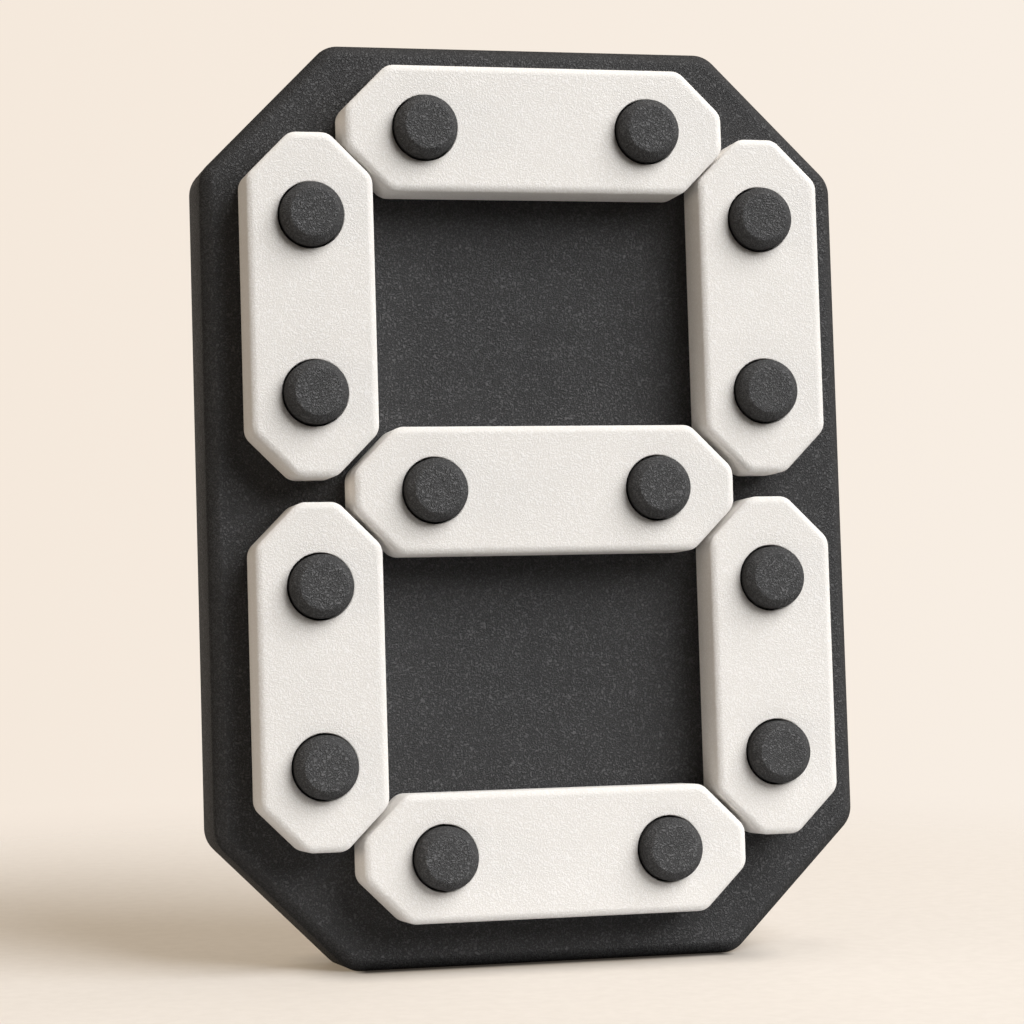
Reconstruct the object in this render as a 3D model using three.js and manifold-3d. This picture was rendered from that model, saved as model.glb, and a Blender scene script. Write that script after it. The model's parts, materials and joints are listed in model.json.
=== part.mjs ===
// Seven-segment number board: a hollow moulded board that leans back on its bottom edge, pegs screwed
// to it from inside, and seven tiles that lift off the pegs to leave other digits.
//
// Board frame: X to the right, Y up the board, Z out of its front face, with the middle tile's centre
// at X = Y = 0 and the front face at Z = 0. The group turns that frame upright, with +Z up and the
// front towards -Y, and puts the origin under the middle of the part's box.

import * as THREE from "three";
import { mergeVertices } from "three/addons/utils/BufferGeometryUtils.js";
import Module from "manifold-3d";

const wasm = await Module();
wasm.setup();

// Driving dimensions in millimetres, angles in degrees

// Tiles
const TILE_WIDTH = 28.8;
const TILE_THICKNESS = 11.5;
const LONG_TILE_LENGTH = 88.8;
const SHORT_TILE_LENGTH = 77.5;
const TILE_END_CUT = 10;
const TILE_CORNER_RADIUS = 2.8;
const TILE_FRONT_BEVEL = 1.3;
const TILE_BACK_BEVEL = 0.4;
const TILE_WALL = 2.4;
const TILE_ROOF = 3;
const SLEEVE_WALL = 2;
const TILE_RIB = 1.8;
const TILE_RIB_RECESS = 2;

// Layout of the figure
const TILE_GAP = 1.25;
const COLUMN_GAP = 4.5;
const UPPER_PAIR_RAISE = 1;
const LONG_PEG_INSET = 18.3;
const SHORT_PEG_INSET = 18.8;
const SIDE_MARGIN = 8.4;
const TOP_MARGIN = 6.9;
const BOTTOM_MARGIN = 10.8;

// Board shell and its back cover
const BOARD_THICKNESS = 18;
const BOARD_CORNER_CUT = 30;
const BOARD_CORNER_RADIUS = 5.5;
const BOARD_FRONT_BEVEL = 2.4;
const BOARD_BACK_BEVEL = 1;
const BOARD_LEAN = 4.3;
const PANEL_THICKNESS = 4;
const BOARD_WALL = 4.4;
const BOARD_RIM = 2.4;
const BOARD_RIB = 2;
const RIB_RECESS = 1.5;
const COVER_THICKNESS = 3;
const COVER_CLEARANCE = 0.4;

// Pegs
const PEG_DIAMETER = 14.8;
const PEG_PROUD = 4.2;
const PEG_BEVEL = 2.2;
const SPIGOT_DIAMETER = 8;
const SPIGOT_RECESS = 0.6;
const PEG_CLEARANCE = 0.3;
const SPIGOT_CLEARANCE = 0.3;

// Screws
const SCREW_DIAMETER = 3;
const SCREW_CLEARANCE = 0.3;
const SCREW_TIP_ROOM = 0.5;
const PEG_SCREW_HEAD_DIAMETER = 11;
const PEG_SCREW_HEAD_HEIGHT = 2.4;
const PEG_SCREW_REACH = 9;
const COVER_SCREW_HEAD_DIAMETER = 6;
const COVER_SCREW_REACH = 8;
const COVER_SCREW_SUNK = 0.2;
const SLOT_WIDTH = 0.9;
const SLOT_LENGTH = 3.6;
const SLOT_DEPTH = 0.8;
const BOSS_WALL = 2.4;
const BOSS_WALL_GAP = 1.2;

// Gap between a seated piece and its seat, and the overlap given to cutting tools
const SEAT_GAP = 0.3;
const OVERCUT = 1;
const LEAST_CORNER_RADIUS = 1;

const ROUND_SIDES = 20;
const SCREW_SIDES = 12;
const CORNER_STEPS = 1;

const charcoal = { color: 0x343537, roughness: 0.78, metalness: 0 };
const offWhite = { color: 0xebe6df, roughness: 0.72, metalness: 0 };
const steel = { color: 0x8d9094, roughness: 0.35, metalness: 1 };

// Sizes and places that follow from the driving dimensions
const pegRadius = PEG_DIAMETER / 2;
const pegHoleRadius = pegRadius + PEG_CLEARANCE;
const spigotRadius = SPIGOT_DIAMETER / 2;
const screwRadius = SCREW_DIAMETER / 2;
const screwBoreRadius = screwRadius + SCREW_CLEARANCE;
const bossRadius = screwBoreRadius + BOSS_WALL;

const rowSpacing = SHORT_TILE_LENGTH + COLUMN_GAP;
const columnOffset = TILE_GAP * Math.SQRT2 + (LONG_TILE_LENGTH + SHORT_TILE_LENGTH - rowSpacing) / 2
  + TILE_WIDTH - 2 * TILE_END_CUT;

const upperPair = rowSpacing / 2 + UPPER_PAIR_RAISE;
const lowerPair = -rowSpacing / 2;

const boardTop = rowSpacing + TILE_WIDTH / 2 + TOP_MARGIN;
const boardBottom = -rowSpacing - TILE_WIDTH / 2 - BOTTOM_MARGIN;
const boardHalfWidth = columnOffset + TILE_WIDTH / 2 + SIDE_MARGIN;

const lean = THREE.MathUtils.degToRad(BOARD_LEAN);
const footRise = BOARD_THICKNESS * Math.tan(lean);
const boardBack = -BOARD_THICKNESS;
const panelBack = -PANEL_THICKNESS;
const coverSeat = boardBack + COVER_THICKNESS;

const boardOutline = {
  left: -boardHalfWidth,
  right: boardHalfWidth,
  bottom: boardBottom,
  top: boardTop,
  cut: BOARD_CORNER_CUT,
  radius: BOARD_CORNER_RADIUS,
};
// The sloped foot takes material off the bottom wall, so what lies inside starts higher by that much
const innerOutline = { ...boardOutline, bottom: boardBottom + footRise };

const longTile = {
  size: [LONG_TILE_LENGTH, TILE_WIDTH],
  pegs: LONG_TILE_LENGTH / 2 - LONG_PEG_INSET,
};
const shortTile = {
  size: [SHORT_TILE_LENGTH, TILE_WIDTH],
  pegs: SHORT_TILE_LENGTH / 2 - SHORT_PEG_INSET,
};

const seats = [
  { name: "top", kind: longTile, at: [0, rowSpacing] },
  { name: "middle", kind: longTile, at: [0, 0] },
  { name: "bottom", kind: longTile, at: [0, -rowSpacing] },
  { name: "upper_left", kind: shortTile, at: [-columnOffset, upperPair], upright: true },
  { name: "upper_right", kind: shortTile, at: [columnOffset, upperPair], upright: true },
  { name: "lower_left", kind: shortTile, at: [-columnOffset, lowerPair], upright: true },
  { name: "lower_right", kind: shortTile, at: [columnOffset, lowerPair], upright: true },
];

function pegSpots() {
  return seats.flatMap(({ name, kind, at: [x, y], upright }) => {
    if (upright) {
      return [
        { name: `${name}_high`, x, y: y + kind.pegs },
        { name: `${name}_low`, x, y: y - kind.pegs },
      ];
    }
    return [
      { name: `${name}_left`, x: x - kind.pegs, y },
      { name: `${name}_right`, x: x + kind.pegs, y },
    ];
  });
}

// Cover screws stand inside the four corner cuts, at mid-height of both side walls, and in the middle
// of the two windows of the figure
function coverScrewSpots() {
  const { left, right, bottom, top, cut } = innerOutline;
  const inset = BOARD_WALL + BOSS_WALL_GAP + bossRadius;
  const cornerInset = cut / 2 + inset * Math.SQRT1_2;
  const middle = (top + bottom) / 2;
  return [
    [left + cornerInset, top - cornerInset],
    [right - cornerInset, top - cornerInset],
    [left + inset, middle],
    [right - inset, middle],
    [left + cornerInset, bottom + cornerInset],
    [right - cornerInset, bottom + cornerInset],
    [0, rowSpacing / 2],
    [0, -rowSpacing / 2],
  ].map(([x, y]) => ({ x, y }));
}

function solidOf(geometry) {
  const bare = geometry.clone();
  bare.deleteAttribute("normal");
  bare.deleteAttribute("uv");
  const merged = mergeVertices(bare, 1e-4);
  return new wasm.Manifold(new wasm.Mesh({
    numProp: 3,
    vertProperties: new Float32Array(merged.attributes.position.array),
    triVerts: new Uint32Array(merged.index.array),
  }));
}

function geometryOf(solid) {
  const { vertProperties, triVerts } = solid.getMesh();
  const indexed = new THREE.BufferGeometry();
  indexed.setAttribute("position", new THREE.BufferAttribute(new Float32Array(vertProperties), 3));
  indexed.setIndex(new THREE.BufferAttribute(new Uint32Array(triVerts), 1));
  const geometry = indexed.toNonIndexed();
  geometry.computeVertexNormals();
  return geometry;
}

// An outline moved inwards: sides by the distance, corner cuts by the same distance square to them
function inset(outline, distance) {
  return {
    left: outline.left + distance,
    right: outline.right - distance,
    bottom: outline.bottom + distance,
    top: outline.top - distance,
    cut: outline.cut - distance * (2 - Math.SQRT2),
    radius: Math.max(outline.radius - distance, LEAST_CORNER_RADIUS),
  };
}

// Octagon with 45 degree corner cuts, each of its eight corners rounded by an arc
function octagonShape({ left, right, bottom, top, cut, radius }) {
  const corners = [
    [right, bottom + cut],
    [right, top - cut],
    [right - cut, top],
    [left + cut, top],
    [left, top - cut],
    [left, bottom + cut],
    [left + cut, bottom],
    [right - cut, bottom],
  ];
  const eighth = Math.PI / 4;
  const trim = radius * Math.tan(eighth / 2);
  const shape = new THREE.Shape();
  corners.forEach(([x, y], i) => {
    // Each corner turns by an eighth of a circle, from the side before it to the side after it
    const start = (i - 1) * eighth;
    const along = new THREE.Vector2(-Math.sin(start), Math.cos(start));
    const inward = new THREE.Vector2(-Math.cos(start), -Math.sin(start));
    const centre = new THREE.Vector2(x, y).addScaledVector(along, -trim).addScaledVector(inward, radius);
    shape.absarc(centre.x, centre.y, radius, start, start + eighth, false);
  });
  shape.closePath();
  return shape;
}

function plate(outline, low, high, bevel = 0) {
  return new THREE.ExtrudeGeometry(octagonShape(outline), {
    depth: high - low - 2 * bevel,
    curveSegments: CORNER_STEPS,
    bevelEnabled: bevel > 0,
    bevelThickness: bevel,
    bevelSize: bevel,
    bevelOffset: -bevel,
    bevelSegments: 1,
  }).translate(0, 0, low + bevel);
}

function plateSolid(outline, low, high) {
  return solidOf(plate(outline, low, high));
}

// Plate with its own bevel on the back edge and on the front edge
function bevelledPlateSolid(outline, low, high, backBevel, frontBevel) {
  const frontCut = solidOf(plate(outline, low - 2 * frontBevel, high, frontBevel));
  const backCut = solidOf(plate(outline, low, high + 2 * backBevel, backBevel));
  return frontCut.intersect(backCut);
}

function rod(radius, low, high, x = 0, y = 0, sides = ROUND_SIDES) {
  return solidOf(new THREE.CylinderGeometry(radius, radius, high - low, sides)
    .rotateX(Math.PI / 2)
    .translate(x, y, (low + high) / 2));
}

function block(width, height, low, high, x = 0, y = 0) {
  return solidOf(new THREE.BoxGeometry(width, height, high - low).translate(x, y, (low + high) / 2));
}

// Turned piece about the Z axis, from a profile of [radius, z] points that starts and ends on the axis
function turned(profile, sides) {
  const points = profile.map(([radius, z]) => new THREE.Vector2(radius, z));
  return new THREE.LatheGeometry(points, sides).rotateX(Math.PI / 2);
}

function piece(name, geometry, finish) {
  const mesh = new THREE.Mesh(geometry, new THREE.MeshStandardMaterial(finish));
  mesh.name = name;
  return mesh;
}

// Everything below the level floor line under the leaning board
function floorCut() {
  const reach = 2 * boardHalfWidth;
  return solidOf(new THREE.BoxGeometry(2 * reach, reach, 2 * reach)
    .translate(0, -reach / 2, 0)
    .rotateX(lean)
    .translate(0, boardBottom, -BOARD_FRONT_BEVEL));
}

function makeFrontShell() {
  const ribBack = coverSeat + RIB_RECESS;
  const ribSpan = { width: 2 * boardHalfWidth - BOARD_WALL, height: boardTop - boardBottom - BOARD_WALL };
  const inside = plateSolid(inset(innerOutline, BOARD_WALL), boardBack - OVERCUT, panelBack);
  const rebate = plateSolid(inset(innerOutline, BOARD_RIM), boardBack - OVERCUT, coverSeat);
  const boardMiddle = (boardTop + boardBottom) / 2;

  let ribs = block(BOARD_RIB, ribSpan.height, ribBack, panelBack + OVERCUT, 0, boardMiddle);
  for (const y of [rowSpacing / 2, -rowSpacing / 2]) {
    ribs = ribs.add(block(ribSpan.width, BOARD_RIB, ribBack, panelBack + OVERCUT, 0, y));
  }
  ribs = ribs.intersect(plateSolid(inset(innerOutline, BOARD_WALL / 2), boardBack, panelBack + OVERCUT));

  let shell = bevelledPlateSolid(boardOutline, boardBack, 0, BOARD_BACK_BEVEL, BOARD_FRONT_BEVEL)
    .subtract(inside)
    .add(ribs)
    .subtract(rebate)
    .subtract(floorCut());
  for (const { x, y } of coverScrewSpots()) {
    const boreEnd = coverSeat + COVER_SCREW_REACH + SCREW_TIP_ROOM;
    shell = shell
      .add(rod(bossRadius, coverSeat, panelBack + OVERCUT, x, y, SCREW_SIDES))
      .subtract(rod(screwBoreRadius, coverSeat - OVERCUT, boreEnd, x, y, SCREW_SIDES));
  }
  for (const { x, y } of pegSpots()) {
    const hole = rod(spigotRadius + SPIGOT_CLEARANCE, panelBack - OVERCUT, OVERCUT, x, y);
    shell = shell.subtract(hole);
  }
  return piece("front_shell", geometryOf(shell), charcoal);
}

function makeBackCover() {
  const outline = inset(innerOutline, BOARD_RIM + COVER_CLEARANCE);
  const headRadius = COVER_SCREW_HEAD_DIAMETER / 2 + SCREW_CLEARANCE;
  const coneEnd = boardBack + COVER_SCREW_SUNK + headRadius - screwBoreRadius;
  let cover = plateSolid(outline, boardBack, coverSeat - SEAT_GAP);
  for (const { x, y } of coverScrewSpots()) {
    const sink = turned([
      [0, boardBack - OVERCUT],
      [headRadius, boardBack - OVERCUT],
      [headRadius, boardBack + COVER_SCREW_SUNK],
      [screwBoreRadius, coneEnd],
      [screwBoreRadius, coverSeat + OVERCUT],
      [0, coverSeat + OVERCUT],
    ], SCREW_SIDES);
    cover = cover.subtract(solidOf(sink.translate(x, y, 0)));
  }
  return piece("back_cover", geometryOf(cover), charcoal);
}

function makeCoverScrew(number, { x, y }) {
  const headRadius = COVER_SCREW_HEAD_DIAMETER / 2;
  const head = boardBack + COVER_SCREW_SUNK;
  const tip = coverSeat + COVER_SCREW_REACH;
  const body = solidOf(turned([
    [0, head],
    [headRadius, head],
    [screwRadius, head + headRadius - screwRadius],
    [screwRadius, tip],
    [0, tip],
  ], SCREW_SIDES));
  const cross = block(SLOT_LENGTH, SLOT_WIDTH, head - OVERCUT, head + SLOT_DEPTH)
    .add(block(SLOT_WIDTH, SLOT_LENGTH, head - OVERCUT, head + SLOT_DEPTH));
  const screw = piece(`cover_screw_${number}`, geometryOf(body.subtract(cross)), steel);
  screw.position.set(x, y, 0);
  return screw;
}

function makePeg({ name, x, y }) {
  const top = SEAT_GAP + TILE_THICKNESS + PEG_PROUD;
  const spigotEnd = panelBack + SPIGOT_RECESS;
  const boreEnd = PEG_SCREW_REACH + SCREW_TIP_ROOM;
  const profile = [
    [0, boreEnd],
    [screwBoreRadius, boreEnd],
    [screwBoreRadius, spigotEnd],
    [spigotRadius, spigotEnd],
    [spigotRadius, SEAT_GAP],
    [pegRadius, SEAT_GAP],
    [pegRadius, top - PEG_BEVEL],
    [pegRadius - PEG_BEVEL, top],
    [0, top],
  ];
  const peg = piece(`peg_${name}`, geometryOf(solidOf(turned(profile, ROUND_SIDES))), charcoal);
  peg.position.set(x, y, 0);
  return peg;
}

function makePegScrew({ name, x, y }) {
  const seat = panelBack - SEAT_GAP;
  const headRadius = PEG_SCREW_HEAD_DIAMETER / 2;
  const profile = [
    [0, seat - PEG_SCREW_HEAD_HEIGHT],
    [headRadius, seat - PEG_SCREW_HEAD_HEIGHT],
    [headRadius, seat],
    [screwRadius, seat],
    [screwRadius, PEG_SCREW_REACH],
    [0, PEG_SCREW_REACH],
  ];
  const screw = piece(`peg_screw_${name}`, geometryOf(solidOf(turned(profile, SCREW_SIDES))), steel);
  screw.position.set(x, y, 0);
  return screw;
}

function makeTile({ name, kind, at: [x, y], upright }) {
  const [length, width] = kind.size;
  const outline = {
    left: -length / 2,
    right: length / 2,
    bottom: -width / 2,
    top: width / 2,
    cut: TILE_END_CUT,
    radius: TILE_CORNER_RADIUS,
  };
  const roof = TILE_THICKNESS - TILE_ROOF;
  const intoRoof = TILE_THICKNESS - TILE_ROOF / 2;
  const pegPlaces = [-kind.pegs, kind.pegs];

  const rib = block(length - TILE_WALL, TILE_RIB, TILE_RIB_RECESS, intoRoof);
  let tile = bevelledPlateSolid(outline, 0, TILE_THICKNESS, TILE_BACK_BEVEL, TILE_FRONT_BEVEL)
    .subtract(plateSolid(inset(outline, TILE_WALL), -OVERCUT, roof))
    .add(rib);
  for (const place of pegPlaces) {
    tile = tile.add(rod(pegHoleRadius + SLEEVE_WALL, 0, intoRoof, place));
  }
  for (const place of pegPlaces) {
    tile = tile.subtract(rod(pegHoleRadius, -OVERCUT, TILE_THICKNESS + OVERCUT, place));
  }
  const mesh = piece(`tile_${name}`, geometryOf(tile), offWhite);
  mesh.position.set(x, y, SEAT_GAP);
  mesh.rotation.z = upright ? Math.PI / 2 : 0;
  return mesh;
}

function makeBoard() {
  const board = new THREE.Group();
  board.add(makeFrontShell(), makeBackCover());
  coverScrewSpots().forEach((spot, i) => board.add(makeCoverScrew(i + 1, spot)));
  for (const spot of pegSpots()) {
    board.add(makePeg(spot), makePegScrew(spot));
  }
  for (const seat of seats) {
    board.add(makeTile(seat));
  }
  board.rotation.x = Math.PI / 2 - lean;
  return board;
}

function standOnOrigin(board) {
  const part = new THREE.Group();
  part.add(board);
  part.updateMatrixWorld(true);
  const box = new THREE.Box3().setFromObject(part, true);
  const centre = box.getCenter(new THREE.Vector3());
  board.position.set(-centre.x, -centre.y, -box.min.z);
  return part;
}

export default standOnOrigin(makeBoard());
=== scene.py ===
import json
import math

import bmesh
import bpy
from mathutils import Matrix, Vector


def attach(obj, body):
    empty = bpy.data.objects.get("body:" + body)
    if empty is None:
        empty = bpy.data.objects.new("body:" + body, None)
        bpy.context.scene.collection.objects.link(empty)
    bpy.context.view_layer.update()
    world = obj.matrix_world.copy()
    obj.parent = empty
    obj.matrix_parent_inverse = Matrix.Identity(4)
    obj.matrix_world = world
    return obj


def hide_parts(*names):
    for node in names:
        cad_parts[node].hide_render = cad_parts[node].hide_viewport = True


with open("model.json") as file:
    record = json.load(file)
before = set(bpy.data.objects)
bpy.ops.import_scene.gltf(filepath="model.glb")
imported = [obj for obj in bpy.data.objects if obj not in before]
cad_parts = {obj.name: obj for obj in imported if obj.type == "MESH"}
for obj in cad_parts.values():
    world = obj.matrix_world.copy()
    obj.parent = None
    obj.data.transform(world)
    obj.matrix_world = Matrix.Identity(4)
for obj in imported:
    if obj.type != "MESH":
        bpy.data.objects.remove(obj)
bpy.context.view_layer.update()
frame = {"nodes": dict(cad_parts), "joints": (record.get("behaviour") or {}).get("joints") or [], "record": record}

# The finished look of a seven-segment number board: a charcoal moulded board that leans back on its
# bottom edge, charcoal pegs, and off-white tiles that lift off the pegs.
# Lengths are in metres. Colours of surfaces and of the background are sRGB from 0 to 255, and tints of
# light are linear, up to 1.

MM = 0.001

# Camera, from the photograph's perspective
CAMERA_PLACE = Vector((-182.7, -682.7, 110.0)) * MM
CAMERA_HEADING = math.radians(14.60)
CAMERA_PITCH = math.radians(-0.59)
CAMERA_ROLL = math.radians(0.63)
CAMERA_LENS = 107.9
CAMERA_SENSOR = 36.0
CAMERA_NEAR = 0.01
CAMERA_FAR = 50.0

# Board shell and back cover
BOARD_CORNER_CUT = 30 * MM
BOARD_CORNER_RADIUS = 6.8 * MM
BOARD_FRONT_EDGE = 2.8 * MM
BOARD_BACK_EDGE = 1.0 * MM
BOARD_RIM = 2.4 * MM
BOARD_WALL = 4.4 * MM
BOARD_PANEL = 4.0 * MM
COVER_DEPTH = 3.0 * MM
COVER_GAP = 0.4 * MM
COVER_EDGE = 0.5 * MM

# Tiles
TILE_END_CUT = 10 * MM
TILE_CORNER_RADIUS = 4.0 * MM
TILE_FRONT_EDGE = 1.5 * MM
TILE_FRONT_DROP = 0.85 * MM
TILE_BACK_EDGE = 0.4 * MM
TILE_WALL = 2.4 * MM
TILE_ROOF = 3.0 * MM
TILE_RIB = 1.8 * MM
TILE_RIB_RECESS = 2.0 * MM
# How far a rib's ends and top run into the sleeves and the roof
TILE_RIB_SUNK = 0.3 * MM
# Gap between the peg that shows and its hole
HOLE_GAP = 0.42 * MM
HOLE_LIP = 0.2 * MM
SLEEVE_WALL = 2.0 * MM

# Pegs and screws
PEG_EDGE = 1.8 * MM
# The peg that shows is drawn this much inside its solid, all round
PEG_SLIMMER = 0.3 * MM
SCREW_SLOT_WIDTH = 0.9 * MM
SCREW_SLOT_LENGTH = 3.6 * MM
SCREW_SLOT_DEPTH = 0.9 * MM
SCREW_SHANK = 1.5 * MM
SCREW_SINK_GAP = 0.3 * MM
SCREW_TURN_SEED = 7

# Fineness of curves
CORNER_STEPS = 8
EDGE_STEPS = 7
ROUND_SIDES = 96
SCREW_SIDES = 48
PEG_SIDE_STEPS = 20
PEG_TOP_STEPS = 10
# Share of a peg's side steps that lie on its straight wall, below the edge
PEG_WALL_SHARE = 0.2
LEAST_CORNER_RADIUS = 0.1 * MM
# An edge is a plain chamfer at fullness 1 and a quarter circle at fullness 2
BOARD_FULLNESS = 1.3
TILE_FULLNESS = 1.5
PEG_FULLNESS = 1.12
# Width of the strip that keeps a flat face flat beside a rounded edge
HOLDING_STRIP = 0.4 * MM
SHARP_ANGLE = math.radians(32)

# Moulded grain
# Mesh attribute that is 1 on faces square to the board and 0 on walls
FLATNESS = "flatness"
# A surface counts as flat from this value of the attribute
FLAT_FROM = 0.98
# Share of the grain's depth that is left on walls and edges
EDGE_GRAIN = 0.4
# Creases run along the middle value of the grain's noise, and end this far off it
NOISE_MIDDLE = 0.5
CREASE_REACH = 0.17
CREASE_ROUGHNESS = 0.7
PAD_ROUGHNESS = 0.56
PLASTIC_SPECULAR = 0.06
# Noise values between which the plastic's broad tone changes
TONE_SPAN = (0.3, 0.7)

# Screw steel
STEEL_DARK = (120, 121, 124)
STEEL_LIGHT = (164, 165, 167)
STEEL_SPAN = (0.3, 0.7)
STEEL_ROUGHNESS = (0.28, 0.46)
STEEL_MARKS_PER_METRE = 2400.0

# Paper floor
FLOOR_REACH = 1.1
PAPER_DARK = (184, 183, 183)
PAPER_LIGHT = (189, 188, 188)
PAPER_SPAN = (0.35, 0.65)
PAPER_GLOW = (153, 137, 116)
PAPER_ROUGHNESS = 0.95
PAPER_SPECULAR = 0.1
FIBRES_PER_METRE = 260.0
# Half size of the oblong under the board from which the paper's shading is measured
FOOT_HALF_SIZE = (42 * MM, 9 * MM, 0.0)
CONTACT_REACH = 18 * MM
CONTACT_SHADE = 0.62
CREVICE_REACH = 3 * MM
CREVICE_SHADE = 0.12
# The paper fades out between two ovals, which lie this far from their shared middle
FADE_OVAL = (0.95, 1.0, 1.0)
FADE_SHIFT = (0.0, -0.05, 0.0)
FADE_START = 0.12
FADE_END = 0.34

# Studio light
BOARD_MIDDLE = (0.0, 0.0, 0.105)
FILL_TINT = (1.0, 0.90, 0.78, 1.0)
FILL_STRENGTH = 0.03
BACKGROUND_LEFT = (245, 233, 220)
BACKGROUND_RIGHT = (248, 238, 227)
# Sine of the angle, to each side of the camera's heading, over which the background changes
BACKGROUND_REACH = 0.16

# Board frame: X to the right, UP along the board, OUT of its front face
X_AXIS = Vector((1, 0, 0))
OUT = Vector(frame["joints"][0]["axis"]).normalized()
UP = OUT.cross(X_AXIS)


def reach(node, axis):
    """Lowest and highest place of a node's solid along an axis."""
    places = [axis.dot(vertex.co) for vertex in frame["nodes"][node].data.vertices]
    return min(places), max(places)


# The board frame's origin is on the front face, at the height of the middle tile
FACE_PLANE = reach("front_shell", OUT)[1]
MIDDLE_HEIGHT = sum(reach("tile_middle", UP)) / 2
TO_WORLD = (Matrix.Translation(UP * MIDDLE_HEIGHT + OUT * FACE_PLANE)
            @ Matrix((X_AXIS, UP, OUT)).transposed().to_4x4())


class Extent:
    """A node's box in the board frame."""

    def __init__(self, node):
        self.left, self.right = reach(node, X_AXIS)
        self.bottom, self.top = (place - MIDDLE_HEIGHT for place in reach(node, UP))
        self.low, self.high = (place - FACE_PLANE for place in reach(node, OUT))
        self.x = (self.left + self.right) / 2
        self.y = (self.bottom + self.top) / 2
        self.width = self.right - self.left
        self.height = self.top - self.bottom


BODIES = frame["record"]["behaviour"]["bodies"]
PEG_SCREW_NODES = [node for node in BODIES["board"] if node.startswith("peg_screw_")]
PEG_NODES = [node for node in BODIES["board"] if node.startswith("peg_") and node not in PEG_SCREW_NODES]
COVER_SCREW_NODES = [node for node in BODIES["board"] if node.startswith("cover_screw_")]
TILE_BODIES = {
    "tile_top": "top_tile",
    "tile_middle": "middle_tile",
    "tile_bottom": "bottom_tile",
    "tile_upper_left": "upper_left_tile",
    "tile_upper_right": "upper_right_tile",
    "tile_lower_left": "lower_left_tile",
    "tile_lower_right": "lower_right_tile",
}


# Nodes

def fill_sockets(tree, node, sockets):
    """Links each socket that is given another node's output, and sets the others."""
    for key, value in sockets.items():
        if isinstance(value, bpy.types.NodeSocket):
            tree.links.new(value, node.inputs[key])
        else:
            node.inputs[key].default_value = value


def add_node(tree, kind, sockets=None, **settings):
    node = tree.nodes.new(kind)
    for name, value in settings.items():
        setattr(node, name, value)
    fill_sockets(tree, node, sockets or {})
    return node


def work_out(tree, operation, first, second=0.0, clamp=False):
    node = add_node(tree, "ShaderNodeMath", {0: first, 1: second}, operation=operation, use_clamp=clamp)
    return node.outputs["Value"]


def work_out_vector(tree, operation, first, second=(0.0, 0.0, 0.0), result="Vector"):
    node = add_node(tree, "ShaderNodeVectorMath", {0: first, 1: second}, operation=operation)
    return node.outputs[result]


def rescale(tree, value, old, new, smooth=False):
    """A value moved from the old range, to which it is held, to the new one."""
    node = add_node(tree, "ShaderNodeMapRange", {
        "Value": value, "From Min": old[0], "From Max": old[1], "To Min": new[0], "To Max": new[1]},
        interpolation_type="SMOOTHSTEP" if smooth else "LINEAR")
    return node.outputs["Result"]


def noise(tree, place, scale, detail, roughness, distortion=0.0):
    node = add_node(tree, "ShaderNodeTexNoise", {
        "Vector": place, "Scale": scale, "Detail": detail, "Roughness": roughness, "Distortion": distortion})
    return node.outputs["Fac"]


def colour(levels):
    """An sRGB colour as the linear colour that shaders take."""
    def linear(level):
        share = level / 255
        return share / 12.92 if share <= 0.04045 else ((share + 0.055) / 1.055) ** 2.4
    return (*(linear(level) for level in levels), 1.0)


def two_tones(tree, factor, first, second, span=(0.0, 1.0)):
    """A colour that goes from the first to the second while the factor goes over the span."""
    node = add_node(tree, "ShaderNodeValToRGB", {"Fac": factor})
    for element, position, tone in zip(node.color_ramp.elements, span, (first, second)):
        element.position = position
        element.color = colour(tone)
    return node.outputs["Color"]


def object_place(tree):
    return add_node(tree, "ShaderNodeTexCoord").outputs["Object"]


def shown_rays(tree):
    """1 for camera, glossy and transmission rays, and 0 for the others, which light the pieces."""
    rays = add_node(tree, "ShaderNodeLightPath").outputs
    camera_or_glossy = work_out(tree, "MAXIMUM", rays["Is Camera Ray"], rays["Is Glossy Ray"])
    return work_out(tree, "MAXIMUM", camera_or_glossy, rays["Is Transmission Ray"])


# Materials

def new_material(name):
    material = bpy.data.materials.new(name)
    material.use_nodes = True
    tree = material.node_tree
    return material, tree, tree.nodes["Principled BSDF"]


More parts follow.
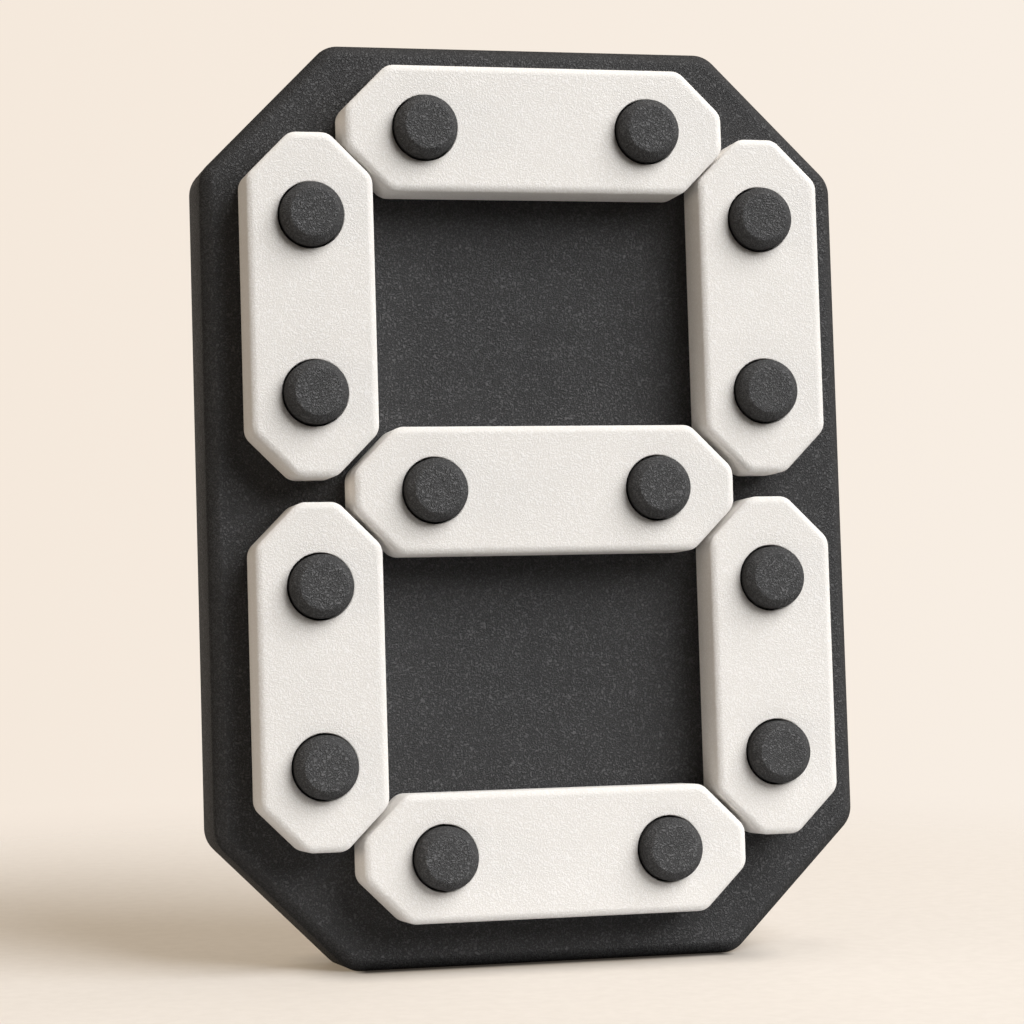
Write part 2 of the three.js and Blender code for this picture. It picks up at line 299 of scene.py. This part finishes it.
def grained_plastic(name, crease_with_painted_shade, pad_with_painted_highlight, grain_pitch, grain_depth,
                    tone_size, tone_share, edge_from, painted_edge_tone):
    """Moulded plastic with a leathery grain: a bump, with creases in a darker colour and pads between them
    in a lighter one, which are painted shade and painted highlight.

    Flat faces carry the full grain. Edges and walls are smoother and are darkened towards the painted edge
    tone, a painted shade, in full where the flatness is at most edge_from.
    """
    material, tree, shader = new_material(name)
    place = object_place(tree)
    grain = noise(tree, place, 1 / grain_pitch, detail=1.0, roughness=0.6, distortion=0.6)
    beside_crease = work_out(tree, "ABSOLUTE", work_out(tree, "SUBTRACT", grain, NOISE_MIDDLE))
    pads = rescale(tree, beside_crease, (0.0, CREASE_REACH), (0.0, 1.0), smooth=True)
    # Painted highlight and shade on the grain: pads take the lighter colour and creases the darker, over the bump
    tint = add_node(tree, "ShaderNodeMix", {"Factor": pads, "A": colour(crease_with_painted_shade), "B": colour(pad_with_painted_highlight)},
                    data_type="RGBA")

    tone = noise(tree, place, 1 / tone_size, detail=3.0, roughness=0.55)
    lightness = rescale(tree, tone, TONE_SPAN, (1 - tone_share, 1 + tone_share))
    # Painted shade: edges and walls are darkened towards the painted edge tone
    flatness = add_node(tree, "ShaderNodeAttribute", attribute_name=FLATNESS).outputs["Fac"]
    painted_edge_shade = rescale(tree, flatness, (edge_from, FLAT_FROM), (painted_edge_tone, 1.0))
    shaded = add_node(tree, "ShaderNodeHueSaturation", {
        "Color": tint.outputs["Result"], "Value": work_out(tree, "MULTIPLY", lightness, painted_edge_shade)})

    relief = add_node(tree, "ShaderNodeBump", {
        "Strength": rescale(tree, flatness, (edge_from, FLAT_FROM), (EDGE_GRAIN, 1.0)),
        "Distance": grain_depth, "Height": pads})
    fill_sockets(tree, shader, {
        "Base Color": shaded.outputs["Color"],
        "Roughness": rescale(tree, pads, (0.0, 1.0), (CREASE_ROUGHNESS, PAD_ROUGHNESS)),
        "Specular IOR Level": PLASTIC_SPECULAR,
        "Normal": relief.outputs["Normal"]})
    return material


def plated_steel(name):
    """Zinc-plated screw steel with fine marks."""
    material, tree, shader = new_material(name)
    marks = noise(tree, object_place(tree), STEEL_MARKS_PER_METRE, detail=2.0, roughness=0.6)
    fill_sockets(tree, shader, {
        "Base Color": two_tones(tree, marks, STEEL_DARK, STEEL_LIGHT, STEEL_SPAN),
        "Roughness": rescale(tree, marks, (0.0, 1.0), STEEL_ROUGHNESS),
        "Metallic": 1.0})
    return material


def shade_near_foot(tree, place):
    """Share of its light that the paper keeps near the board's foot, least in the crevice beside it."""
    beyond = work_out_vector(tree, "SUBTRACT", work_out_vector(tree, "ABSOLUTE", place), FOOT_HALF_SIZE)
    outside = work_out_vector(tree, "MAXIMUM", beyond)
    distance = work_out_vector(tree, "LENGTH", outside, result="Value")
    contact = rescale(tree, distance, (0.0, CONTACT_REACH), (CONTACT_SHADE, 1.0), smooth=True)
    crevice = rescale(tree, distance, (0.0, CREVICE_REACH), (CREVICE_SHADE, 1.0))
    return work_out(tree, "MULTIPLY", contact, crevice)


def studio_paper(name):
    """Cream paper under the board, which glows a little where it is seen and fades out far away."""
    material, tree, shader = new_material(name)
    place = object_place(tree)
    fibres = noise(tree, place, FIBRES_PER_METRE, detail=4.0, roughness=0.6)
    near_foot = shade_near_foot(tree, place)
    shaded = add_node(tree, "ShaderNodeHueSaturation", {
        "Color": two_tones(tree, fibres, PAPER_DARK, PAPER_LIGHT, PAPER_SPAN), "Value": near_foot})
    oval = add_node(tree, "ShaderNodeMapping", {"Vector": place, "Location": FADE_SHIFT, "Scale": FADE_OVAL})
    distance = work_out_vector(tree, "LENGTH", oval.outputs["Vector"], result="Value")
    fill_sockets(tree, shader, {
        "Base Color": shaded.outputs["Color"],
        "Roughness": PAPER_ROUGHNESS,
        "Specular IOR Level": PAPER_SPECULAR,
        "Emission Color": colour(PAPER_GLOW),
        "Emission Strength": work_out(tree, "MULTIPLY", shown_rays(tree), near_foot),
        "Alpha": rescale(tree, distance, (FADE_START, FADE_END), (1.0, 0.0), smooth=True)})
    return material


# The darker crease and lighter pad colours are painted shade and painted highlight on the grain, and the edge tone
# is painted shade on edges and walls
CHARCOAL = grained_plastic(
    "charcoal_board_grain", crease_with_painted_shade=(66, 66, 67), pad_with_painted_highlight=(88, 88, 89), grain_pitch=0.6 * MM,
    grain_depth=0.38 * MM, tone_size=9 * MM, tone_share=0.05, edge_from=0.55, painted_edge_tone=0.38)
PEG_CHARCOAL = grained_plastic(
    "charcoal_peg_grain", crease_with_painted_shade=(79, 79, 80), pad_with_painted_highlight=(106, 106, 107), grain_pitch=0.6 * MM,
    grain_depth=0.4 * MM, tone_size=5 * MM, tone_share=0.05, edge_from=0.5, painted_edge_tone=0.38)
OFF_WHITE = grained_plastic(
    "off_white_tile_grain", crease_with_painted_shade=(230, 226, 221), pad_with_painted_highlight=(239, 236, 233), grain_pitch=0.6 * MM,
    grain_depth=0.046 * MM, tone_size=12 * MM, tone_share=0.012, edge_from=0.2, painted_edge_tone=0.98)
STEEL = plated_steel("screw_steel_plate")
PAPER = studio_paper("studio_paper")


# Outlines and skins

def octagon(left, right, bottom, top, cut, radius, inset=0.0):
    """Points of an octagon with 45 degree cuts and rounded corners, moved inwards by the inset."""
    left, right, bottom, top = left + inset, right - inset, bottom + inset, top - inset
    cut -= inset * (2 - math.sqrt(2))
    radius = max(radius - inset, LEAST_CORNER_RADIUS)
    eighth = math.pi / 4
    trim = radius * math.tan(eighth / 2)
    corners = [(right, bottom + cut), (right, top - cut), (right - cut, top), (left + cut, top),
               (left, top - cut), (left, bottom + cut), (left + cut, bottom), (right - cut, bottom)]
    points = []
    for i, (x, y) in enumerate(corners):
        start = (i - 1) * eighth
        centre_x = x + trim * math.sin(start) - radius * math.cos(start)
        centre_y = y - trim * math.cos(start) - radius * math.sin(start)
        for step in range(CORNER_STEPS + 1):
            turn = start + eighth * step / CORNER_STEPS
            points.append((centre_x + radius * math.cos(turn), centre_y + radius * math.sin(turn)))
    return points


def circle(x, y, radius, sides):
    turns = (2 * math.pi * i / sides for i in range(sides))
    return [(x + radius * math.cos(turn), y + radius * math.sin(turn)) for turn in turns]


def rounded_edge(width, depth, fullness):
    """Pairs of inset and drop that run over a soft edge, from the wall to the face."""
    power = 2 / fullness
    turns = (math.pi / 2 * i / EDGE_STEPS for i in range(EDGE_STEPS + 1))
    return [(width * (1 - math.cos(turn) ** power), depth * (1 - math.sin(turn) ** power)) for turn in turns]


class Skin:
    """A closed surface made of rings of points, the bands between them and flat fills."""

    def __init__(self):
        self.mesh = bmesh.new()

    def ring(self, points, height):
        return [self.mesh.verts.new((x, y, height)) for x, y in points]

    def band(self, rings):
        for first, second in zip(rings, rings[1:]):
            for i in range(len(first)):
                j = (i + 1) % len(first)
                self.mesh.faces.new((first[i], first[j], second[j], second[i]))

    def fill(self, *rings):
        edges = []
        for ring in rings:
            for i in range(len(ring)):
                pair = (ring[i - 1], ring[i])
                edges.append(self.mesh.edges.get(pair) or self.mesh.edges.new(pair))
        bmesh.ops.triangle_fill(self.mesh, use_beauty=True, use_dissolve=False, edges=edges)

    def box(self, left, right, bottom, top, low, high):
        corners = [(left, bottom), (right, bottom), (right, top), (left, top)]
        lower = self.ring(corners, low)
        upper = self.ring(corners, high)
        self.band([lower, upper])
        self.mesh.faces.new(lower)
        self.mesh.faces.new(upper)

    def finish(self, name, material):
        bmesh.ops.recalc_face_normals(self.mesh, faces=self.mesh.faces)
        mesh = bpy.data.meshes.new(name)
        self.mesh.to_mesh(mesh)
        self.mesh.free()
        return finish_mesh(name, mesh, material)


def finish_mesh(name, mesh, material):
    """A mesh of the board frame as an object in the world's frame."""
    flatness = mesh.attributes.new(FLATNESS, "FLOAT", "POINT")
    for i, vertex in enumerate(mesh.vertices):
        flatness.data[i].value = abs(vertex.normal.z)
    mesh.transform(TO_WORLD)
    mesh.shade_smooth()
    mesh.set_sharp_from_angle(angle=SHARP_ANGLE)
    mesh.materials.clear()
    mesh.materials.append(material)
    piece = bpy.data.objects.new(name, mesh)
    bpy.context.scene.collection.objects.link(piece)
    return piece


def stand_for(piece, body, slot, *nodes):
    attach(piece, body)
    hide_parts(*nodes)


# Board

def make_front_shell():
    board = Extent("front_shell")
    skin = Skin()

    def outline(inset, height, bottom=board.bottom):
        return skin.ring(octagon(board.left, board.right, bottom, board.top,
                                 BOARD_CORNER_CUT, BOARD_CORNER_RADIUS, inset), height)

    # What lies inside starts above the level foot
    inner_bottom = board.bottom + (board.high - board.low) * OUT.z / UP.z
    cover_seat = board.low + COVER_DEPTH
    inner = [outline(BOARD_WALL, -BOARD_PANEL, inner_bottom),
             outline(BOARD_WALL, cover_seat, inner_bottom),
             outline(BOARD_RIM, cover_seat, inner_bottom),
             outline(BOARD_RIM, board.low, inner_bottom)]
    back_edge = rounded_edge(BOARD_BACK_EDGE, BOARD_BACK_EDGE, BOARD_FULLNESS)
    front_edge = rounded_edge(BOARD_FRONT_EDGE, BOARD_FRONT_EDGE, BOARD_FULLNESS)
    outer = [outline(inset, board.low + drop) for inset, drop in reversed(back_edge)]
    outer += [outline(inset, board.high - drop) for inset, drop in front_edge]
    face = outline(BOARD_FRONT_EDGE + HOLDING_STRIP, board.high)
    skin.band(inner + outer + [face])
    skin.fill(face)
    skin.fill(inner[0])

    # The bottom edge is cut level with the floor that the board stands on
    for ring in outer:
        for vertex in ring:
            floor = -(TO_WORLD.translation.z + vertex.co.z * OUT.z) / UP.z
            vertex.co.y = max(vertex.co.y, floor)
    piece = skin.finish("front_shell_moulding", CHARCOAL)
    stand_for(piece, "board", "charcoal_board", "front_shell")


def make_back_cover():
    cover = Extent("back_cover")
    corner_cut = BOARD_CORNER_CUT - (BOARD_RIM + COVER_GAP) * (2 - math.sqrt(2))
    corner_radius = BOARD_CORNER_RADIUS - BOARD_RIM - COVER_GAP
    skin = Skin()

    def outline(inset, height):
        return skin.ring(octagon(cover.left, cover.right, cover.bottom, cover.top,
                                 corner_cut, corner_radius, inset), height)

    edge = rounded_edge(COVER_EDGE, COVER_EDGE, BOARD_FULLNESS)
    inside = outline(0, cover.high)
    back_edge = [outline(inset, cover.low + drop) for inset, drop in edge]
    back = outline(COVER_EDGE + HOLDING_STRIP, cover.low)
    skin.band([inside] + back_edge + [back])

    back_holes, inside_holes = [], []
    for node in COVER_SCREW_NODES:
        screw = Extent(node)
        head_radius = screw.width / 2 + SCREW_SINK_GAP
        shank_radius = SCREW_SHANK + SCREW_SINK_GAP
        cone_end = min(screw.low + head_radius - shank_radius, cover.high)
        hole = [skin.ring(circle(screw.x, screw.y, radius, SCREW_SIDES), height)
                for radius, height in ((head_radius, cover.low), (head_radius, screw.low),
                                       (shank_radius, cone_end), (shank_radius, cover.high))]
        skin.band(hole)
        back_holes.append(hole[0])
        inside_holes.append(hole[-1])
    skin.fill(back, *back_holes)
    skin.fill(inside, *inside_holes)
    piece = skin.finish("back_cover_plate", CHARCOAL)
    stand_for(piece, "board", "charcoal_board", "back_cover")


# Tiles

def make_tile(node, body):
    tile = Extent(node)
    name = node.removeprefix("tile_")
    pegs = [Extent(peg) for peg in PEG_NODES if peg.removeprefix("peg_").rsplit("_", 1)[0] == name]
    hole = pegs[0].width / 2 - PEG_SLIMMER + HOLE_GAP
    roof = tile.high - TILE_ROOF
    skin = Skin()

    def outline(inset, height):
        return skin.ring(octagon(tile.left, tile.right, tile.bottom, tile.top,
                                 TILE_END_CUT, TILE_CORNER_RADIUS, inset), height)

    pocket = outline(TILE_WALL, roof)
    rings = [pocket, outline(TILE_WALL, tile.low)]
    back_edge = rounded_edge(TILE_BACK_EDGE, TILE_BACK_EDGE, TILE_FULLNESS)
    front_edge = rounded_edge(TILE_FRONT_EDGE, TILE_FRONT_DROP, TILE_FULLNESS)
    rings += [outline(inset, tile.low + drop) for inset, drop in reversed(back_edge)]
    rings += [outline(inset, tile.high - drop) for inset, drop in front_edge]
    face = outline(TILE_FRONT_EDGE + HOLDING_STRIP, tile.high)
    skin.band(rings + [face])

    lips, sleeves = [], []
    lip_edge = rounded_edge(HOLE_LIP, HOLE_LIP, TILE_FULLNESS)
    for peg in pegs:
        profile = [(hole + HOLE_LIP + HOLDING_STRIP, tile.high)]
        profile += [(hole + inset, tile.high - drop) for inset, drop in reversed(lip_edge)]
        profile += [(hole, tile.low), (hole + SLEEVE_WALL, tile.low), (hole + SLEEVE_WALL, roof)]
        sleeve = [skin.ring(circle(peg.x, peg.y, radius, ROUND_SIDES), height) for radius, height in profile]
        skin.band(sleeve)
        lips.append(sleeve[0])
        sleeves.append(sleeve[-1])
    skin.fill(face, *lips)
    skin.fill(pocket, *sleeves)

    # Stiffening rib under the roof, from sleeve to sleeve
    half = TILE_RIB / 2
    gap = hole + SLEEVE_WALL - TILE_RIB_SUNK
    rib_heights = (tile.low + TILE_RIB_RECESS, roof + TILE_RIB_SUNK)
    if tile.width > tile.height:
        first, second = sorted(peg.x for peg in pegs)
        skin.box(first + gap, second - gap, tile.y - half, tile.y + half, *rib_heights)
    else:
        first, second = sorted(peg.y for peg in pegs)
        skin.box(tile.x - half, tile.x + half, first + gap, second - gap, *rib_heights)
    piece = skin.finish(f"{body}_moulding", OFF_WHITE)
    stand_for(piece, body, "off_white_tile", node)


# Repeated pieces made by node trees

class Tree:
    """A geometry node tree with named inputs, built step by step."""

    def __init__(self, name, sizes):
        self.tree = bpy.data.node_groups.new(name, "GeometryNodeTree")
        face = self.tree.interface
        face.new_socket("Geometry", in_out="INPUT", socket_type="NodeSocketGeometry")
        for size in sizes:
            face.new_socket(size, in_out="INPUT", socket_type="NodeSocketFloat")
        face.new_socket("Material", in_out="INPUT", socket_type="NodeSocketMaterial")
        face.new_socket("Geometry", in_out="OUTPUT", socket_type="NodeSocketGeometry")
        self.inputs = self.tree.nodes.new("NodeGroupInput").outputs
        self.output = self.tree.nodes.new("NodeGroupOutput").inputs["Geometry"]

    def add(self, kind, sockets=None, **settings):
        return add_node(self.tree, kind, sockets, **settings)

    def math(self, operation, first, second=0.0, clamp=False):
        return work_out(self.tree, operation, first, second, clamp)

    def vector(self, **parts):
        return self.add("ShaderNodeCombineXYZ", parts).outputs["Vector"]

    def join(self, sockets, node, key):
        """Links several outputs to one socket that takes them all."""
        for socket in sockets:
            self.tree.links.new(socket, node.inputs[key])

    def copy_to_points(self, shape, **placing):
        """Copies of a shape on the input's points, made real, with the material set."""
        copies = self.add("GeometryNodeInstanceOnPoints", {
            "Points": self.inputs["Geometry"], "Instance": shape, **placing})
        real = self.add("GeometryNodeRealizeInstances", {"Geometry": copies.outputs["Instances"]})
        dressed = self.add("GeometryNodeSetMaterial", {
            "Geometry": real.outputs["Geometry"], "Material": self.inputs["Material"]})
        self.tree.links.new(dressed.outputs["Geometry"], self.output)


def peg_tree():
    """A peg with a soft top edge: a cylinder of rings whose radius and height follow the edge's curve."""
    tree = Tree("peg_on_each_point", ["Radius", "Height", "Edge", "Fullness"])
    size = tree.inputs
    blank = tree.add("GeometryNodeMeshCylinder", {
        "Vertices": ROUND_SIDES, "Side Segments": PEG_SIDE_STEPS, "Fill Segments": PEG_TOP_STEPS,
        "Radius": 1.0, "Depth": 1.0}, fill_type="TRIANGLE_FAN")
    place = tree.add("ShaderNodeSeparateXYZ", {
        "Vector": tree.add("GeometryNodeInputPosition").outputs["Position"]}).outputs
    along = tree.math("ADD", place["Z"], 0.5)
    on_wall = tree.math("DIVIDE", along, PEG_WALL_SHARE, clamp=True)
    past_wall = tree.math("SUBTRACT", along, PEG_WALL_SHARE)
    on_edge = tree.math("DIVIDE", past_wall, 1 - PEG_WALL_SHARE, clamp=True)
    turn = tree.math("MULTIPLY", on_edge, math.pi / 2)
    power = tree.math("DIVIDE", 2.0, size["Fullness"])
    # Rounding can put the cosine just below zero, where its power isn't defined
    across = tree.math("POWER", tree.math("MAXIMUM", tree.math("COSINE", turn), 0.0), power)
    rise = tree.math("POWER", tree.math("SINE", turn), power)
    core = tree.math("SUBTRACT", size["Radius"], size["Edge"])
    radius = tree.math("ADD", core, tree.math("MULTIPLY", size["Edge"], across))
    wall_height = tree.math("SUBTRACT", size["Height"], size["Edge"])
    height = tree.math("ADD", tree.math("MULTIPLY", wall_height, on_wall),
                       tree.math("MULTIPLY", size["Edge"], rise))
    spot = tree.vector(X=tree.math("MULTIPLY", place["X"], radius),
                       Y=tree.math("MULTIPLY", place["Y"], radius), Z=height)
    peg = tree.add("GeometryNodeSetPosition", {"Geometry": blank.outputs["Mesh"], "Position": spot})
    tree.copy_to_points(peg.outputs["Geometry"])
    return tree.tree


def screw_tree():
    """A countersunk screw with a cross slot, head down, each copy turned at random."""
    tree = Tree("screw_on_each_point", [
        "Head Radius", "Shank Radius", "Length", "Slot Length", "Slot Width", "Slot Depth", "Turn Seed"])
    size = tree.inputs
    head = tree.add("GeometryNodeMeshCone", {
        "Vertices": SCREW_SIDES, "Radius Top": size["Shank Radius"], "Radius Bottom": size["Head Radius"],
        "Depth": tree.math("SUBTRACT", size["Head Radius"], size["Shank Radius"])})
    # Each bar of the cross is a box that is half sunk into the head
    slot_height = tree.math("MULTIPLY", size["Slot Depth"], 2.0)
    bars = [tree.add("GeometryNodeMeshCube", {"Size": tree.vector(X=across, Y=along, Z=slot_height)})
            for across, along in ((size["Slot Length"], size["Slot Width"]),
                                  (size["Slot Width"], size["Slot Length"]))]
    cut_head = tree.add("GeometryNodeMeshBoolean", {"Mesh 1": head.outputs["Mesh"]},
                        operation="DIFFERENCE", solver="EXACT")
    tree.join([bar.outputs["Mesh"] for bar in bars], cut_head, "Mesh 2")
    # The shank starts inside the head, under the slot
    shank_length = tree.math("SUBTRACT", size["Length"], size["Slot Depth"])
    shank = tree.add("GeometryNodeMeshCylinder", {
        "Vertices": SCREW_SIDES, "Radius": size["Shank Radius"], "Depth": shank_length})
    shank_middle = tree.math("ADD", size["Slot Depth"], tree.math("MULTIPLY", shank_length, 0.5))
    shank_placed = tree.add("GeometryNodeTransform", {
        "Geometry": shank.outputs["Mesh"], "Translation": tree.vector(Z=shank_middle)})
    screw = tree.add("GeometryNodeJoinGeometry")
    tree.join([cut_head.outputs["Mesh"], shank_placed.outputs["Geometry"]], screw, "Geometry")
    turn = tree.add("FunctionNodeRandomValue", {"Min": 0.0, "Max": math.pi, "Seed": size["Turn Seed"]},
                    data_type="FLOAT")
    tree.copy_to_points(screw.outputs["Geometry"], Rotation=tree.vector(Z=turn.outputs["Value"]))
    return tree.tree


def grow(name, points, tree, sizes, material):
    """Runs a tree on points in the board frame and keeps the result as a plain mesh."""
    seed = bpy.data.meshes.new(name + "_points")
    seed.from_pydata(points, [], [])
    holder = bpy.data.objects.new(name + "_points", seed)
    bpy.context.scene.collection.objects.link(holder)
    modifier = holder.modifiers.new(name, "NODES")
    modifier.node_group = tree
    values = {**sizes, "Material": material}
    for item in tree.interface.items_tree:
        if item.in_out == "INPUT" and item.name in values:
            modifier[item.identifier] = values[item.name]
    shown = holder.evaluated_get(bpy.context.evaluated_depsgraph_get())
    mesh = bpy.data.meshes.new_from_object(shown)
    bpy.data.objects.remove(holder)
    return finish_mesh(name, mesh, material)


def make_pegs():
    pegs = [Extent(node) for node in PEG_NODES]
    sizes = {"Radius": pegs[0].width / 2 - PEG_SLIMMER, "Height": pegs[0].high,
             "Edge": PEG_EDGE, "Fullness": PEG_FULLNESS}
    piece = grow("pegs", [(peg.x, peg.y, 0.0) for peg in pegs], peg_tree(), sizes, PEG_CHARCOAL)
    stand_for(piece, "board", "charcoal_peg", *PEG_NODES)


def make_cover_screws():
    screws = [Extent(node) for node in COVER_SCREW_NODES]
    sizes = {"Head Radius": screws[0].width / 2, "Shank Radius": SCREW_SHANK,
             "Length": screws[0].high - screws[0].low, "Slot Length": SCREW_SLOT_LENGTH,
             "Slot Width": SCREW_SLOT_WIDTH, "Slot Depth": SCREW_SLOT_DEPTH, "Turn Seed": SCREW_TURN_SEED}
    places = [(screw.x, screw.y, screw.low) for screw in screws]
    piece = grow("cover_screws", places, screw_tree(), sizes, STEEL)
    stand_for(piece, "board", "screw_steel", *COVER_SCREW_NODES)


def dress_peg_screws():
    for node in PEG_SCREW_NODES:
        mesh = frame["nodes"][node].data
        mesh.materials.clear()
        mesh.materials.append(STEEL)


# Studio

def make_floor():
    corners = [(-FLOOR_REACH, -FLOOR_REACH, 0), (FLOOR_REACH, -FLOOR_REACH, 0),
               (FLOOR_REACH, FLOOR_REACH, 0), (-FLOOR_REACH, FLOOR_REACH, 0)]
    mesh = bpy.data.meshes.new("paper_floor")
    mesh.from_pydata(corners, [], [(0, 1, 2, 3)])
    mesh.materials.append(PAPER)
    floor = bpy.data.objects.new("paper_floor", mesh)
    bpy.context.scene.collection.objects.link(floor)


def make_lamp(name, place, target, size, power, tint):
    data = bpy.data.lights.new(name, "AREA")
    data.shape = "DISK"
    data.size = size
    data.energy = power
    data.color = tint
    lamp = bpy.data.objects.new(name, data)
    lamp.location = place
    lamp.rotation_euler = (Vector(target) - Vector(place)).to_track_quat("-Z", "Y").to_euler()
    bpy.context.scene.collection.objects.link(lamp)


def hang_lamps():
    make_lamp("key_lamp", place=(1.2, -1.36, 1.52), target=BOARD_MIDDLE,
              size=2.1, power=89.0, tint=(1.0, 0.995, 0.985))
    make_lamp("overhead_lamp", place=(0.3, 0.25, 2.0), target=(0.0, 0.2, 0.0),
              size=0.8, power=7.0, tint=(1.0, 0.9, 0.78))
    make_lamp("side_lamp", place=(-1.2, -0.12, 0.1), target=BOARD_MIDDLE,
              size=0.5, power=4.4, tint=(1.0, 0.87, 0.72))
    make_lamp("back_lamp", place=(0.5, 1.5, 0.15), target=BOARD_MIDDLE,
              size=1.0, power=9.0, tint=(1.0, 0.97, 0.93))


def make_background():
    """A faint fill lights the pieces, while the camera and reflections see plain cream."""
    world = bpy.data.worlds.new("studio_light")
    world.use_nodes = True
    tree = world.node_tree
    fill = tree.nodes["Background"]
    fill_sockets(tree, fill, {"Color": FILL_TINT, "Strength": FILL_STRENGTH})
    outlook = add_node(tree, "ShaderNodeTexCoord").outputs["Generated"]
    right = (math.cos(CAMERA_HEADING), -math.sin(CAMERA_HEADING), 0.0)
    aside = work_out_vector(tree, "DOT_PRODUCT", outlook, right, result="Value")
    across = rescale(tree, aside, (-BACKGROUND_REACH, BACKGROUND_REACH), (0.0, 1.0))
    cream = add_node(tree, "ShaderNodeBackground", {
        "Color": two_tones(tree, across, BACKGROUND_LEFT, BACKGROUND_RIGHT), "Strength": 1.0})
    choice = add_node(tree, "ShaderNodeMixShader", {
        "Fac": shown_rays(tree), 1: fill.outputs["Background"], 2: cream.outputs["Background"]})
    fill_sockets(tree, tree.nodes["World Output"], {"Surface": choice.outputs["Shader"]})
    bpy.context.scene.world = world


def place_camera():
    data = bpy.data.cameras.new("photo_camera")
    data.sensor_fit = "HORIZONTAL"
    data.sensor_width = CAMERA_SENSOR
    data.lens = CAMERA_LENS
    data.clip_start = CAMERA_NEAR
    data.clip_end = CAMERA_FAR
    camera = bpy.data.objects.new("photo_camera", data)
    aim = Matrix.Rotation(-CAMERA_HEADING, 4, "Z") @ Matrix.Rotation(math.pi / 2 + CAMERA_PITCH, 4, "X")
    camera.matrix_world = Matrix.Translation(CAMERA_PLACE) @ aim @ Matrix.Rotation(-CAMERA_ROLL, 4, "Z")
    bpy.context.scene.collection.objects.link(camera)
    bpy.context.scene.camera = camera


place_camera()
make_front_shell()
make_back_cover()
make_pegs()
make_cover_screws()
dress_peg_screws()
for tile_node, tile_body in TILE_BODIES.items():
    make_tile(tile_node, tile_body)
make_floor()
hang_lamps()
make_background()
bpy.context.scene.view_settings.view_transform = "Standard"
